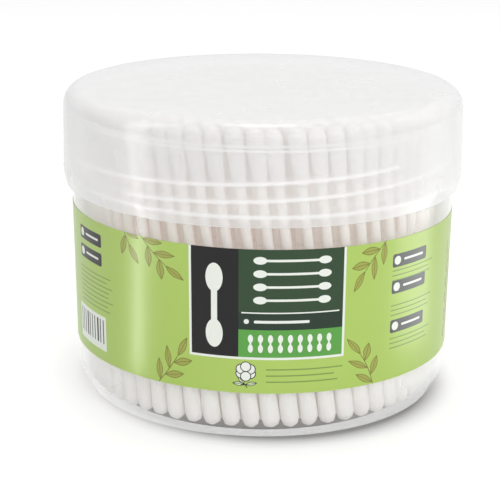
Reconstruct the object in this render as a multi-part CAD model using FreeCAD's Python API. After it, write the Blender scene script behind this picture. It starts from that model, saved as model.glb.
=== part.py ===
"""Tub of cotton swabs with a screw lid, in millimetres.

The origin is the middle of the base, +Z is up and the front of the tub faces -Y.
The tub stands on its base ring with the lid screwed down. The swabs stand inside
in rings, all leaning the same way round, as a bundle does when it is twisted.
"""

import FreeCAD
import Part
import math
import os

# Tub: base, body and wall
TUB_BASE_RADIUS = 49.2
TUB_DRAFT_DEG = 0.86
TUB_WALL = 1.2
TUB_CORNER_ROUND = 5.6
FLOOR_CORNER_ROUND = 2.8
BASE_RING_WIDTH = 8.2
BASE_RECESS_DEPTH = 0.8

# Tub: shoulder, neck and rim
SHOULDER_WIDTH = 1.75
SHOULDER_ROUND = 0.7
NECK_HEIGHT = 15.3
NECK_ROOT_ROUND = 0.6
RIM_ROUND = 0.45

# Thread of several starts, which stands out of the neck and into the lid
THREAD_STARTS = 3
THREAD_LEAD = 12.6
THREAD_HEIGHT = 1.2
THREAD_ROOT_WIDTH = 2.2
THREAD_CREST_WIDTH = 0.9
THREAD_SINK = 0.4
THREAD_RUN_OUT_DEG = 14.0
THREAD_STEP_DEG = 12.0
NECK_THREAD_SPAN_DEG = 240.0
NECK_THREAD_START_DEG = -150.0
NECK_THREAD_ABOVE_SHOULDER = 1.4
LID_THREAD_SPAN_DEG = 84.0
LID_THREAD_CLEARANCE = 0.35
LID_THREAD_ABOVE_EDGE = 3.4

# Lid: skirt, top and the ring inside it that sits on the rim
LID_SKIRT_GAP = 1.05
LID_EDGE_GAP = 0.15
LID_TAPER_HEIGHT = 3.2
LID_TAPER_ROUND = 2.0
LID_DRAFT_DEG = 1.06
LID_PAST_SHOULDER = 2.5
ROOM_OVER_RIM = 6.0
LID_WALL = 1.2
LID_CORNER_ROUND = 4.5
LID_EDGE_ROUND = 0.4
SEAT_RING_THICKNESS = 1.0
SEAT_RING_OVERLAP = 0.8
SEAT_GAP = 0.1

# Label wrapped round the body
LABEL_BOTTOM = 12.6
LABEL_BELOW_SHOULDER = 8.0
LABEL_THICKNESS = 0.15
LABEL_GLUE_GAP = 0.02
LABEL_TILT_DEG = 0.75
LABEL_SEAM_WIDTH = 3.0

# Swabs: a paper stick with a cotton tip on each end
SWAB_LENGTH = 75.5
STICK_RADIUS = 1.25
TIP_ROUNDNESS = 0.92
TIP_TAIL_RADIUS = 1.7
TIP_LENGTH = 14.5
TIP_COVER = 2.6
TIP_BORE_CLEARANCE = 0.02

# Bundle of swabs in the tub: rings of them from the neck inwards, and one in the middle
RING_COUNT = 10
INNER_RING_RADIUS = 6.6
SWAB_SPACING_GAP = 0.15
SWAB_NECK_GAP = 0.2
SWAB_FLOOR_GAP = 0.05
SWAB_HEADROOM = 0.75
BUNDLE_TWIST_DEG = -12.0

# Heights, which follow from the swabs that the tub holds
FLOOR_HEIGHT = BASE_RECESS_DEPTH + TUB_WALL
LID_CEILING = FLOOR_HEIGHT + SWAB_FLOOR_GAP + SWAB_LENGTH + SWAB_HEADROOM
LID_TOP = LID_CEILING + LID_WALL
RIM_HEIGHT = LID_CEILING - ROOM_OVER_RIM
SEAT_HEIGHT = RIM_HEIGHT + SEAT_GAP
SHOULDER_HEIGHT = RIM_HEIGHT - NECK_HEIGHT
LID_BOTTOM = SHOULDER_HEIGHT - LID_PAST_SHOULDER
LABEL_HEIGHT = SHOULDER_HEIGHT - LABEL_BELOW_SHOULDER - LABEL_BOTTOM

# Radii, which follow from the tub's base
BASE_RECESS_RADIUS = TUB_BASE_RADIUS - BASE_RING_WIDTH
SHOULDER_RADIUS = TUB_BASE_RADIUS + SHOULDER_HEIGHT * math.tan(math.radians(TUB_DRAFT_DEG))
NECK_RADIUS = SHOULDER_RADIUS - SHOULDER_WIDTH
NECK_BORE_RADIUS = NECK_RADIUS - TUB_WALL
LID_RADIUS = SHOULDER_RADIUS + LID_SKIRT_GAP + LID_WALL
LID_EDGE_TAPER = LID_SKIRT_GAP - LID_EDGE_GAP

# Swabs are as thick as lets the rings lie side by side between the innermost one and the neck
RINGS_OUTSIDE_INNER = RING_COUNT - 2
BUNDLE_ROOM = NECK_BORE_RADIUS - SWAB_NECK_GAP - INNER_RING_RADIUS
TIP_RADIUS = (BUNDLE_ROOM - RINGS_OUTSIDE_INNER * SWAB_SPACING_GAP) / (2 * RINGS_OUTSIDE_INNER + 1)
SWAB_SPACING = 2 * TIP_RADIUS + SWAB_SPACING_GAP

ORIGIN = FreeCAD.Vector(0, 0, 0)
UP = FreeCAD.Vector(0, 0, 1)
FULL_TURN = 360.0


def tub_radius(height):
    """Radius of the drafted outside of the tub's body at a height."""
    return TUB_BASE_RADIUS + height * math.tan(math.radians(TUB_DRAFT_DEG))


def lid_radius(height):
    """Radius of the lid's drafted outside at a height, before its lower edge tapers in."""
    return LID_RADIUS - (height - LID_BOTTOM) * math.tan(math.radians(LID_DRAFT_DEG))


def rounded_corner(before, corner, after, rounding):
    """Start, middle and end of the arc that rounds a corner between two neighbours."""
    to_before = (before - corner).normalize()
    to_after = (after - corner).normalize()
    half_angle = to_before.getAngle(to_after) / 2
    trim = rounding / math.tan(half_angle)
    inward = (to_before + to_after).normalize()
    middle = corner + inward * (rounding / math.sin(half_angle) - rounding)
    return corner + to_before * trim, middle, corner + to_after * trim


def profile_face(corners):
    """Face in the XZ plane from corners given as radius, height and rounding."""
    points = [FreeCAD.Vector(radius, 0, height) for radius, height, _ in corners]
    spans = []
    arcs = []
    for index, (_, _, rounding) in enumerate(corners):
        corner = points[index]
        if rounding == 0:
            spans.append((corner, corner))
            continue
        after = points[(index + 1) % len(points)]
        start, middle, end = rounded_corner(points[index - 1], corner, after, rounding)
        arcs.append(Part.Arc(start, middle, end).toShape())
        spans.append((start, end))
    lines = []
    for index, (start, _) in enumerate(spans):
        lines.append(Part.LineSegment(spans[index - 1][1], start).toShape())
    return Part.Face(Part.Wire(Part.__sortEdges__(lines + arcs)))


def turned(corners, angle=FULL_TURN):
    """Solid turned about the Z axis from the corners of a profile."""
    return profile_face(corners).revolve(ORIGIN, UP, angle)


def ridge_section(angle_deg, height, root_radius, crest_radius, width_share):
    """Trapezium across a thread ridge, in the upright plane at an angle round the axis."""
    half_root = THREAD_ROOT_WIDTH / 2 * width_share
    half_crest = THREAD_CREST_WIDTH / 2 * width_share
    corners = [(root_radius, height - half_root), (crest_radius, height - half_crest),
               (crest_radius, height + half_crest), (root_radius, height + half_root)]
    points = [FreeCAD.Vector(radius, 0, level) for radius, level in corners]
    section = Part.makePolygon(points + points[:1])
    section.rotate(ORIGIN, UP, angle_deg)
    return section


def thread_ridge(start_deg, start_height, span_deg, wall_radius, crest_radius):
    """One start of a thread that swells out of a wall and runs back into it."""
    outward = math.copysign(1, crest_radius - wall_radius)
    root_radius = wall_radius - outward * THREAD_SINK
    steps = round(span_deg / THREAD_STEP_DEG)
    sections = []
    for step in range(steps + 1):
        turned_deg = span_deg * step / steps
        from_end = min(turned_deg, span_deg - turned_deg)
        swell = math.sin(min(1, from_end / THREAD_RUN_OUT_DEG) * math.pi / 2)
        crest = wall_radius + (crest_radius - wall_radius) * (0.1 + 0.9 * swell)
        height = start_height + THREAD_LEAD * turned_deg / FULL_TURN
        sections.append(ridge_section(start_deg + turned_deg, height, root_radius, crest, 0.6 + 0.4 * swell))
    return Part.makeLoft(sections, True, False)


def with_thread(body, start_deg, start_height, span_deg, wall_radius, crest_radius):
    """Body with every start of a thread joined to its wall."""
    for start in range(THREAD_STARTS):
        angle = start_deg + FULL_TURN * start / THREAD_STARTS
        body = body.fuse(thread_ridge(angle, start_height, span_deg, wall_radius, crest_radius))
    return body


def make_tub():
    """Thin walled tub with a raised base, a shoulder and a threaded neck."""
    under_shoulder = SHOULDER_HEIGHT - TUB_WALL
    tub = turned([
        (0, BASE_RECESS_DEPTH, 0),
        (BASE_RECESS_RADIUS, BASE_RECESS_DEPTH, 0),
        (BASE_RECESS_RADIUS + BASE_RECESS_DEPTH, 0, 0),
        (tub_radius(0), 0, TUB_CORNER_ROUND),
        (tub_radius(SHOULDER_HEIGHT), SHOULDER_HEIGHT, SHOULDER_ROUND),
        (NECK_RADIUS, SHOULDER_HEIGHT, NECK_ROOT_ROUND),
        (NECK_RADIUS, RIM_HEIGHT, RIM_ROUND),
        (NECK_BORE_RADIUS, RIM_HEIGHT, RIM_ROUND),
        (NECK_BORE_RADIUS, under_shoulder, SHOULDER_ROUND),
        (tub_radius(under_shoulder) - TUB_WALL, under_shoulder, NECK_ROOT_ROUND),
        (tub_radius(FLOOR_HEIGHT) - TUB_WALL, FLOOR_HEIGHT, FLOOR_CORNER_ROUND),
        (0, FLOOR_HEIGHT, 0),
    ])
    return with_thread(tub, NECK_THREAD_START_DEG, SHOULDER_HEIGHT + NECK_THREAD_ABOVE_SHOULDER,
                       NECK_THREAD_SPAN_DEG, NECK_RADIUS, NECK_RADIUS + THREAD_HEIGHT)


def make_lid():
    """Lid whose skirt tapers in to the shoulder, with a ring inside for the rim, and a thread."""
    taper_top = LID_BOTTOM + LID_TAPER_HEIGHT
    edge_radius = lid_radius(LID_BOTTOM) - LID_EDGE_TAPER
    seat_top = SEAT_HEIGHT + SEAT_RING_THICKNESS
    seat_radius = NECK_RADIUS - SEAT_RING_OVERLAP
    lid = turned([
        (0, LID_TOP, 0),
        (lid_radius(LID_TOP), LID_TOP, LID_CORNER_ROUND),
        (lid_radius(taper_top), taper_top, LID_TAPER_ROUND),
        (edge_radius, LID_BOTTOM, LID_EDGE_ROUND),
        (edge_radius - LID_WALL, LID_BOTTOM, LID_EDGE_ROUND),
        (lid_radius(taper_top) - LID_WALL, taper_top, LID_TAPER_ROUND),
        (lid_radius(SEAT_HEIGHT) - LID_WALL, SEAT_HEIGHT, 0),
        (seat_radius, SEAT_HEIGHT, 0),
        (seat_radius, seat_top, 0),
        (lid_radius(seat_top) - LID_WALL, seat_top, 0),
        (lid_radius(LID_CEILING) - LID_WALL, LID_CEILING, LID_CORNER_ROUND - LID_WALL),
        (0, LID_CEILING, 0),
    ])
    start_height = LID_BOTTOM + LID_THREAD_ABOVE_EDGE
    start_deg = NECK_THREAD_START_DEG + FULL_TURN / THREAD_STARTS / 2
    wall_radius = lid_radius(start_height) - LID_WALL
    crest_radius = NECK_RADIUS + THREAD_HEIGHT + LID_THREAD_CLEARANCE
    return with_thread(lid, start_deg, start_height, LID_THREAD_SPAN_DEG, wall_radius, crest_radius)


def make_label():
    """Thin film round the body, cut a little askew, with its ends apart at the back."""
    inner = LABEL_GLUE_GAP
    outer = LABEL_GLUE_GAP + LABEL_THICKNESS
    seam_deg = math.degrees(LABEL_SEAM_WIDTH / TUB_BASE_RADIUS)
    sleeve_bottom = LABEL_BOTTOM - LABEL_HEIGHT / 4
    sleeve_top = LABEL_BOTTOM + LABEL_HEIGHT * 5 / 4
    sleeve = turned([
        (tub_radius(sleeve_bottom) + inner, sleeve_bottom, 0),
        (tub_radius(sleeve_bottom) + outer, sleeve_bottom, 0),
        (tub_radius(sleeve_top) + outer, sleeve_top, 0),
        (tub_radius(sleeve_top) + inner, sleeve_top, 0),
    ], FULL_TURN - seam_deg)
    sleeve.rotate(ORIGIN, UP, 90 + seam_deg / 2)
    width = 4 * tub_radius(sleeve_top)
    corner = FreeCAD.Vector(-width / 2, -width / 2, LABEL_BOTTOM)
    slab = Part.makeBox(width, width, LABEL_HEIGHT, corner)
    middle = FreeCAD.Vector(0, 0, LABEL_BOTTOM + LABEL_HEIGHT / 2)
    slab.rotate(middle, FreeCAD.Vector(0, 1, 0), LABEL_TILT_DEG)
    return sleeve.common(slab)


def make_stick():
    """Paper stick standing on the middle of the lower cotton tip's bore."""
    length = SWAB_LENGTH - 2 * TIP_COVER
    return Part.makeCylinder(STICK_RADIUS, length, FreeCAD.Vector(0, 0, TIP_COVER), UP)


def make_lower_tip():
    """Cotton tip with a round nose, a tapered tail and a blind bore for the stick."""
    bore_radius = STICK_RADIUS + TIP_BORE_CLEARANCE
    return turned([
        (0, 0, 0),
        (TIP_RADIUS, 0, TIP_RADIUS * TIP_ROUNDNESS),
        (TIP_TAIL_RADIUS, TIP_LENGTH, 0),
        (bore_radius, TIP_LENGTH, 0),
        (bore_radius, TIP_COVER, 0),
        (0, TIP_COVER, 0),
    ])


def make_upper_tip(lower_tip):
    """The same cotton tip turned over, on the upper end of the stick."""
    tip = lower_tip.copy()
    middle = FreeCAD.Vector(0, 0, SWAB_LENGTH / 2)
    tip.rotate(middle, FreeCAD.Vector(1, 0, 0), 180)
    return tip


def bundle_rings():
    """Radius of each ring and how many swabs fit in it, from the neck inwards."""
    rings = []
    for place in range(RINGS_OUTSIDE_INNER, -1, -1):
        radius = INNER_RING_RADIUS + place * SWAB_SPACING
        rings.append((radius, math.floor(math.pi / math.asin(SWAB_SPACING / 2 / radius))))
    rings.append((0, 1))
    return rings


def swab_placement(radius, angle_deg):
    """Place of a swab that stands on the floor and leans round the tub's axis."""
    turn = FreeCAD.Rotation(UP, BUNDLE_TWIST_DEG)
    foot = FreeCAD.Rotation(UP, angle_deg).multVec(FreeCAD.Vector(radius, 0, 0))
    across = turn.multVec(foot) - foot
    reach = SWAB_LENGTH - 2 * TIP_RADIUS
    rise = math.sqrt(reach ** 2 - across.Length ** 2)
    direction = (across + UP * rise).normalize()
    foot_height = FLOOR_HEIGHT + SWAB_FLOOR_GAP + TIP_RADIUS
    base = foot + UP * foot_height - direction * TIP_RADIUS
    return FreeCAD.Placement(base, FreeCAD.Rotation(UP, direction))


def placed(shape, placement):
    """Copy of a shape at a place."""
    return shape.transformed(placement.toMatrix(), copy=True)


def make_ring(shapes, radius, count):
    """Group of copies of the shapes, one set for each swab of a ring."""
    copies = []
    for index in range(count):
        angle_deg = FULL_TURN * index / count
        placement = swab_placement(radius, angle_deg)
        copies.extend(placed(shape, placement) for shape in shapes)
    return Part.makeCompound(copies)


def export(name, shape):
    """Write one piece, or one group of like pieces, to its own file."""
    shape.exportStep(f"parts/{name}.step")


def main():
    """Build every piece of the tub and write it."""
    os.makedirs("parts", exist_ok=True)
    export("tub", make_tub())
    export("lid", make_lid())
    export("label", make_label())
    stick = make_stick()
    lower_tip = make_lower_tip()
    tips = [lower_tip, make_upper_tip(lower_tip)]
    for number, (radius, count) in enumerate(bundle_rings(), start=1):
        export(f"paper_sticks_ring_{number:02d}", make_ring([stick], radius, count))
        export(f"cotton_tips_ring_{number:02d}", make_ring(tips, radius, count))


main()
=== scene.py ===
"""Cotton swab tub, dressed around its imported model.

A clear tub with a frosted screw lid holds a bundle of paper swabs and wears a
printed film label. Every length is in metres unless its name ends in _mm.
"""

import logging
import math
import random
from collections.abc import Callable
from dataclasses import dataclass
from enum import Enum
from functools import cached_property

import bmesh
import bpy
from mathutils import Euler, Matrix, Vector


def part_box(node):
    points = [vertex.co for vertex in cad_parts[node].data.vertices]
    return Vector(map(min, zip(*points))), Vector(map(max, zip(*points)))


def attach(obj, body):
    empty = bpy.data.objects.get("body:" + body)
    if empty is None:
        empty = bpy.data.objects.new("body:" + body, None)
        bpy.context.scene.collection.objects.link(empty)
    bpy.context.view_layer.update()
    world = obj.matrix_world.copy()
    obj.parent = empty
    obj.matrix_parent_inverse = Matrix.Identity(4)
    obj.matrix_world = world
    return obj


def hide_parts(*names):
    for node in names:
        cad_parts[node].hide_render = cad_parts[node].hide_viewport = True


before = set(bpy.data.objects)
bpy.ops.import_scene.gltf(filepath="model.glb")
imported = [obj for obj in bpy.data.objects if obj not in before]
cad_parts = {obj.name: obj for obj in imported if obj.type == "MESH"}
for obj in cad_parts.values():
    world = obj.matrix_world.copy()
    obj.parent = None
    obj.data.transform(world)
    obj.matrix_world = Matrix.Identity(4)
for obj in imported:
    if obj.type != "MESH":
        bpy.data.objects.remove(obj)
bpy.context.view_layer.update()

MM = 0.001
FULL_TURN = 2 * math.pi
WALL_SEGMENTS = 144
INSIDE = "inside"
# Faces that the plastic shows hazier and with a painted highlight.
EDGE = "edge"
LOG = logging.getLogger("swab_tub")

Colour = tuple[float, float, float]
Piece = bpy.types.Object
Finish = bpy.types.Material
MeshPart = bmesh.types.BMVert | bmesh.types.BMEdge | bmesh.types.BMFace


def from_screen(red: int, green: int, blue: int) -> Colour:
    """Linear colour of a screen colour.

    Args:
        red: Red from 0 to 255.
        green: Green from 0 to 255.
        blue: Blue from 0 to 255.

    Returns:
        The three linear parts, from 0 to 1.
    """
    parts = []
    for part in (red, green, blue):
        share = part / 255
        parts.append(share / 12.92 if share <= 0.04045 else ((share + 0.055) / 1.055) ** 2.4)
    return parts[0], parts[1], parts[2]


def operator(operation: str, swapped: bool = False) -> Callable[["Signal", "Signal | float"], "Signal"]:
    """Method that adds a Math node to a signal.

    Args:
        operation: The node's operation.
        swapped: Whether the other value comes first.

    Returns:
        The method.
    """
    def method(signal: "Signal", other: "Signal | float") -> "Signal":
        """Add the node."""
        return signal.math(operation, other, signal) if swapped else signal.math(operation, signal, other)
    return method


class Signal:
    """A node's output, on which Python's operators add Math nodes.

    Masks are 1 where they hold and 0 elsewhere: their product holds where both
    do, and the | operator where either does.
    """

    def __init__(self, tree: bpy.types.NodeTree, socket: bpy.types.NodeSocket) -> None:
        """Wrap a socket of a tree."""
        self.tree = tree
        self.socket = socket

    def math(self, operation: str, *values: "Signal | float") -> "Signal":
        """Add a Math node.

        Args:
            operation: The node's operation.
            values: What its sockets take, in order.

        Returns:
            The node's result.
        """
        node = self.tree.nodes.new("ShaderNodeMath")
        node.operation = operation
        for socket, value in zip(node.inputs, values):
            if isinstance(value, Signal):
                self.tree.links.new(value.socket, socket)
            else:
                socket.default_value = value
        return Signal(self.tree, node.outputs[0])

    __add__ = operator("ADD")
    __radd__ = operator("ADD", swapped=True)
    __sub__ = operator("SUBTRACT")
    __rsub__ = operator("SUBTRACT", swapped=True)
    __mul__ = operator("MULTIPLY")
    __rmul__ = operator("MULTIPLY", swapped=True)
    __truediv__ = operator("DIVIDE")
    __pow__ = operator("POWER")
    __mod__ = operator("FLOORED_MODULO")
    __lt__ = operator("LESS_THAN")
    __gt__ = operator("GREATER_THAN")
    __or__ = operator("MAXIMUM")
    at_least = operator("MAXIMUM")

    def __abs__(self) -> "Signal":
        """Size without its sign."""
        return self.math("ABSOLUTE", self)

    def sine(self) -> "Signal":
        """Sine of this angle."""
        return self.math("SINE", self)


class Recipe:
    """The node tree of one material, with a Principled shader at its end."""

    def __init__(self, name: str) -> None:
        """Start a material of that name with an empty tree."""
        self.material = bpy.data.materials.new(name)
        self.material.use_nodes = True
        self.tree = self.material.node_tree
        self.tree.nodes.clear()

    def add(self, kind: str, settings: dict | None = None, inputs: dict | None = None,
            output: int | str = 0) -> Signal:
        """Add a node.

        Args:
            kind: The node's type, without its ShaderNode prefix.
            settings: Attributes that are set first.
            inputs: Values or links of its sockets, by name or number.
            output: Which output is wanted.

        Returns:
            That output.
        """
        node = self.tree.nodes.new(f"ShaderNode{kind}")
        for key, value in (settings or {}).items():
            setattr(node, key, value)
        for key, value in (inputs or {}).items():
            if isinstance(value, Signal):
                self.tree.links.new(value.socket, node.inputs[key])
            else:
                node.inputs[key].default_value = value
        return Signal(self.tree, node.outputs[output])

    def mixed(self, mask: Signal | float, under: Signal | Colour, over: Signal | Colour) -> Signal:
        """Colour that is over where the mask is 1 and under elsewhere.

        Args:
            mask: How much of the upper colour shows.
            under: The lower colour.
            over: The upper colour.

        Returns:
            The mixed colour.
        """
        inputs = {0: mask}
        for number, colour in ((6, under), (7, over)):
            inputs[number] = colour if isinstance(colour, Signal) else (*colour, 1)
        return self.add("Mix", {"data_type": "RGBA"}, inputs, 2)

    def place(self) -> Signal:
        """Object coordinates."""
        return self.add("TexCoord", output="Object")

    def axes(self) -> tuple[Signal, Signal, Signal]:
        """Object coordinates along X, Y and Z."""
        place = self.place()
        parts = [self.add("SeparateXYZ", inputs={0: place}, output=number) for number in range(3)]
        return parts[0], parts[1], parts[2]

    def noise(self, size: float, detail: float = 2, stretch: Colour = (1, 1, 1)) -> Signal:
        """Noise from 0 to 1 with grains of a size, finer layers, and its fineness along each axis."""
        place = self.add("Mapping", inputs={"Vector": self.place(), "Scale": stretch})
        return self.add("TexNoise", inputs={"Vector": place, "Scale": 1 / size, "Detail": detail})

    def bump(self, height: Signal, depth: float) -> Signal:
        """Normal that a height from 0 to 1 raises by that depth."""
        return self.add("Bump", inputs={"Strength": 1, "Distance": depth, "Height": height})

    def finish(self, **inputs: Signal | float | tuple) -> Finish:
        """Close the tree with a Principled shader.

        Args:
            inputs: Its sockets, with underscores for spaces.

        Returns:
            The material.
        """
        named = {key.replace("_", " "): value for key, value in inputs.items()}
        shader = self.add("BsdfPrincipled", inputs=named)
        output = self.tree.nodes.new("ShaderNodeOutputMaterial")
        self.tree.links.new(shader.socket, output.inputs["Surface"])
        return self.material


@dataclass(frozen=True)
class ClearPlastic:
    """Moulded polypropylene that lets the swabs show through.

    A sheet seen at a slant is longer on the way through, so it turns milkier there.
    Its outer skin holds most of the haze, and its inner skin little. The whole sheet
    has a painted glow: emission that stands in for light scattered in the plastic.
    Its marked moulded edges are hazier and carry a brighter painted highlight, so
    they show as pale lines. Near the foot the plastic is clearer, by the foot_clearing
    share at the base.
    """

    name: str
    colour: Colour
    haze: float
    slant_haze: float
    slant_power: float
    inner_share: float
    roughness: float
    ripple: float
    painted_glow: float
    edge_haze: float
    painted_edge_highlight: float
    cloudiness: float = 0.1
    foot_height: float = 9 * MM
    foot_clearing: float = 0.0

    def material(self) -> Finish:
        """Build the material."""
        recipe = Recipe(self.name)
        slant = recipe.add("LayerWeight", inputs={"Blend": 0.5}, output="Facing")
        inside = recipe.add("Attribute", {"attribute_name": INSIDE}, output="Fac")
        cloud = recipe.noise(9 * MM, 3)
        haze = self.haze + (self.slant_haze - self.haze) * slant ** self.slant_power
        haze = haze * (1 - inside * (1 - self.inner_share)) * (1 + (cloud - 0.5) * self.cloudiness)
        foot = (1 - recipe.axes()[2] / self.foot_height).at_least(0)
        haze = haze * (1 - foot * self.foot_clearing)
        edge = recipe.add("Attribute", {"attribute_name": EDGE}, output="Fac")
        haze = haze + edge * (self.edge_haze - haze)
        flow = recipe.noise(11 * MM, 1, (1, 1, 0.4))
        return recipe.finish(
            Base_Color=recipe.mixed(cloud, self.colour, tuple(part * 0.98 for part in self.colour)),
            # Painted glow over the sheet, and a brighter painted highlight on the marked edges.
            Emission_Color=recipe.mixed(edge, (self.painted_glow,) * 3, (self.painted_edge_highlight,) * 3),
            Emission_Strength=1.0,
            Roughness=self.roughness + (cloud - 0.5) * 0.08,
            IOR=1.49,
            Alpha=haze,
            Normal=recipe.bump(flow, self.ripple),
        )


@dataclass(frozen=True)
class CottonWool:
    """Wound cotton fibre, soft and matt, with fine fibres round the tip."""

    colour: Colour = (0.93, 0.92, 0.905)
    shade: Colour = (0.85, 0.83, 0.81)
    painted_glow: Colour = (0.085, 0.075, 0.068)

    def material(self) -> Finish:
        """Build the material."""
        recipe = Recipe("cotton wool")
        lumps = recipe.noise(1.6 * MM, 3)
        fibres = recipe.noise(0.5 * MM, 4, (1, 1, 3.2))
        return recipe.finish(
            Base_Color=recipe.mixed(lumps * 0.5 + fibres * 0.3, self.colour, self.shade),
            # Painted glow: a faint warm emission that brightens the cotton, though it is no lamp.
            Emission_Color=(*self.painted_glow, 1),
            Emission_Strength=1.0,
            Roughness=0.95,
            Sheen_Weight=0.25,
            Sheen_Roughness=0.6,
            Specular_IOR_Level=0.2,
            Normal=recipe.bump(fibres * 0.6 + lumps, 0.35 * MM),
        )


@dataclass(frozen=True)
class RolledPaper:
    """Tightly rolled white paper with the faint line of its winding."""

    colour: Colour = (0.90, 0.875, 0.85)
    line_colour: Colour = (0.80, 0.76, 0.72)
    painted_glow: Colour = (0.10, 0.08, 0.07)
    winding: float = 6 * MM

    def material(self) -> Finish:
        """Build the material."""
        recipe = Recipe("rolled paper")
        _, _, up = recipe.axes()
        grain = recipe.noise(0.8 * MM, 3, (1, 1, 0.4))
        line = (up / self.winding + grain * 0.3) % 1 < 0.12
        return recipe.finish(
            Base_Color=recipe.mixed(line * 0.5 + grain * 0.25, self.colour, self.line_colour),
            Emission_Color=(*self.painted_glow, 1),
            # Painted glow: a faint warm emission that brightens the paper, though it is no lamp.
            Emission_Strength=1.0,
            Roughness=0.75,
            Specular_IOR_Level=0.3,
            Normal=recipe.bump(grain, 0.08 * MM),
        )


class Ink(Enum):
    """Inks of the label."""

    GREEN = from_screen(174, 203, 99)
    PALE_GREEN = from_screen(190, 212, 122)
    CHARCOAL = from_screen(19, 17, 18)
    DARK_GREEN = from_screen(44, 70, 44)
    STRIP_GREEN = from_screen(32, 52, 38)
    MID_GREEN = from_screen(92, 162, 72)
    WHITE = from_screen(238, 242, 234)
    LEAF_LINE = from_screen(112, 104, 44)
    LEAF_VEIN = from_screen(148, 122, 54)
    TAG = from_screen(74, 78, 76)
    RULE = from_screen(112, 142, 78)


@dataclass(frozen=True)
class Block:
    """Printed rectangle on the unrolled label, in millimetres from the front."""

    left_mm: float
    bottom_mm: float
    right_mm: float
    top_mm: float
    ink: Ink
    corner_mm: float = 0.05

    def mask(self, across: Signal, up: Signal) -> Signal:
        """Where the rectangle is printed.

        Args:
            across: Distance round the label from the front.
            up: Height on the label.

        Returns:
            A mask with rounded corners.
        """
        middle_across = (self.left_mm + self.right_mm) / 2
        middle_up = (self.bottom_mm + self.top_mm) / 2
        half_width = (self.right_mm - self.left_mm) / 2 - self.corner_mm
        half_height = (self.top_mm - self.bottom_mm) / 2 - self.corner_mm
        beside = (abs(across - middle_across) - half_width).at_least(0)
        above = (abs(up - middle_up) - half_height).at_least(0)
        return beside * beside + above * above < self.corner_mm ** 2


@dataclass(frozen=True)
class Sprig:
    """Printed sprig of leaves that grows from a point at an angle, in millimetres."""

    root_across_mm: float
    root_up_mm: float
    turn_deg: float
    pairs: int
    bend: float = 0.012
    pitch_mm: float = 4.3
    leaf_mm: float = 5.7
    half_width_mm: float = 0.95
    leaf_angle_deg: float = 42
    outline_mm: float = 0.17
    rib_mm: float = 0.07
    stem_mm: float = 0.11
    veins_per_mm: float = 1.6
    vein_share: float = 0.35

    def leaf(self, along: Signal, aside: Signal) -> tuple[Signal, Signal, Signal]:
        """One leaf that lies along its own line.

        Args:
            along: Distance from the leaf's foot.
            aside: Distance from its middle line.

        Returns:
            Masks of the leaf, its outline with its rib, and its veins.
        """
        within = (along > 0) * (along < self.leaf_mm)
        edge = (along * (math.pi / self.leaf_mm)).sine() * self.half_width_mm
        size = abs(aside)
        whole = within * (size < edge)
        lines = whole * ((size > edge - self.outline_mm) | (size < self.rib_mm))
        veins = whole * ((along - size * 1.1) * self.veins_per_mm % 1 < self.vein_share)
        return whole, lines, veins

    def masks(self, across: Signal, up: Signal) -> tuple[Signal, Signal, Signal]:
        """Where the sprig is printed.

        Args:
            across: Distance round the label from the front.
            up: Height on the label.

        Returns:
            Masks of its leaves, its lines and its veins.
        """
        turn = math.radians(self.turn_deg)
        reach = across - self.root_across_mm
        rise = up - self.root_up_mm
        along = reach * math.cos(turn) + rise * math.sin(turn)
        straight = rise * math.cos(turn) - reach * math.sin(turn)
        aside = straight - along * along * self.bend
        length = self.pairs * self.pitch_mm
        cell = (along + (aside < 0) * (self.pitch_mm / 2)) % self.pitch_mm
        foot = along - cell
        grown = (foot > -0.01) * (foot < length - self.pitch_mm / 4)
        angle = math.radians(self.leaf_angle_deg)
        size = abs(aside)
        whole, lines, veins = self.leaf(cell * math.cos(angle) + size * math.sin(angle),
                                        size * math.cos(angle) - cell * math.sin(angle))
        end_whole, end_lines, end_veins = self.leaf(along - length, aside)
        stem = (along > -1) * (along < length) * (size < self.stem_mm)
        return whole * grown | end_whole, lines * grown | end_lines | stem, veins * grown | end_veins


@dataclass(frozen=True)
class FineRules:
    """Printed block of fine rules, in millimetres; each is a little shorter than the last or longer."""

    left_mm: float
    bottom_mm: float
    right_mm: float
    count: int
    pitch_mm: float = 1.25
    weight_mm: float = 0.3

    def mask(self, across: Signal, up: Signal) -> Signal:
        """Where the rules are printed.

        Args:
            across: Distance round the label from the front.
            up: Height on the label.

        Returns:
            The mask.
        """
        above = up - self.bottom_mm
        line = above % self.pitch_mm
        number = (above - line) / self.pitch_mm
        end = self.right_mm - ((number * 2.3).sine() + 1) * 1.3
        return (above > 0) * (above < self.count * self.pitch_mm) * (line < self.weight_mm) \
            * (across > self.left_mm) * (across < end)


@dataclass(frozen=True)
class SwabRow:
    """Printed pictograms of swabs, in rows, in millimetres."""

    middle_across_mm: float
    first_up_mm: float
    rows: int
    spacing_mm: float
    half_length_mm: float
    half_tip_mm: float
    half_stick_mm: float
    upright: bool = False
    tip_stretch: float = 1.7

    def mask(self, across: Signal, up: Signal) -> Signal:
        """Where the pictograms are printed.

        Args:
            across: Distance round the label from the front.
            up: Height on the label.

        Returns:
            The mask.
        """
        first, second = (up, across) if self.upright else (across, up)
        first_middle = self.first_up_mm if self.upright else self.middle_across_mm
        second_start = self.middle_across_mm if self.upright else self.first_up_mm
        along = abs(first - first_middle)
        from_start = second - (second_start - self.spacing_mm / 2)
        within = (from_start > 0) * (from_start < self.rows * self.spacing_mm)
        aside = from_start % self.spacing_mm - self.spacing_mm / 2
        half_tip_length = self.half_tip_mm * self.tip_stretch
        tip_middle = self.half_length_mm - half_tip_length
        tip_along = (along - tip_middle) / half_tip_length
        tip_aside = aside / self.half_tip_mm
        tips = tip_along * tip_along + tip_aside * tip_aside < 1
        stick = (along < tip_middle) * (abs(aside) < self.half_stick_mm)
        return within * (tips | stick)


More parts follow.
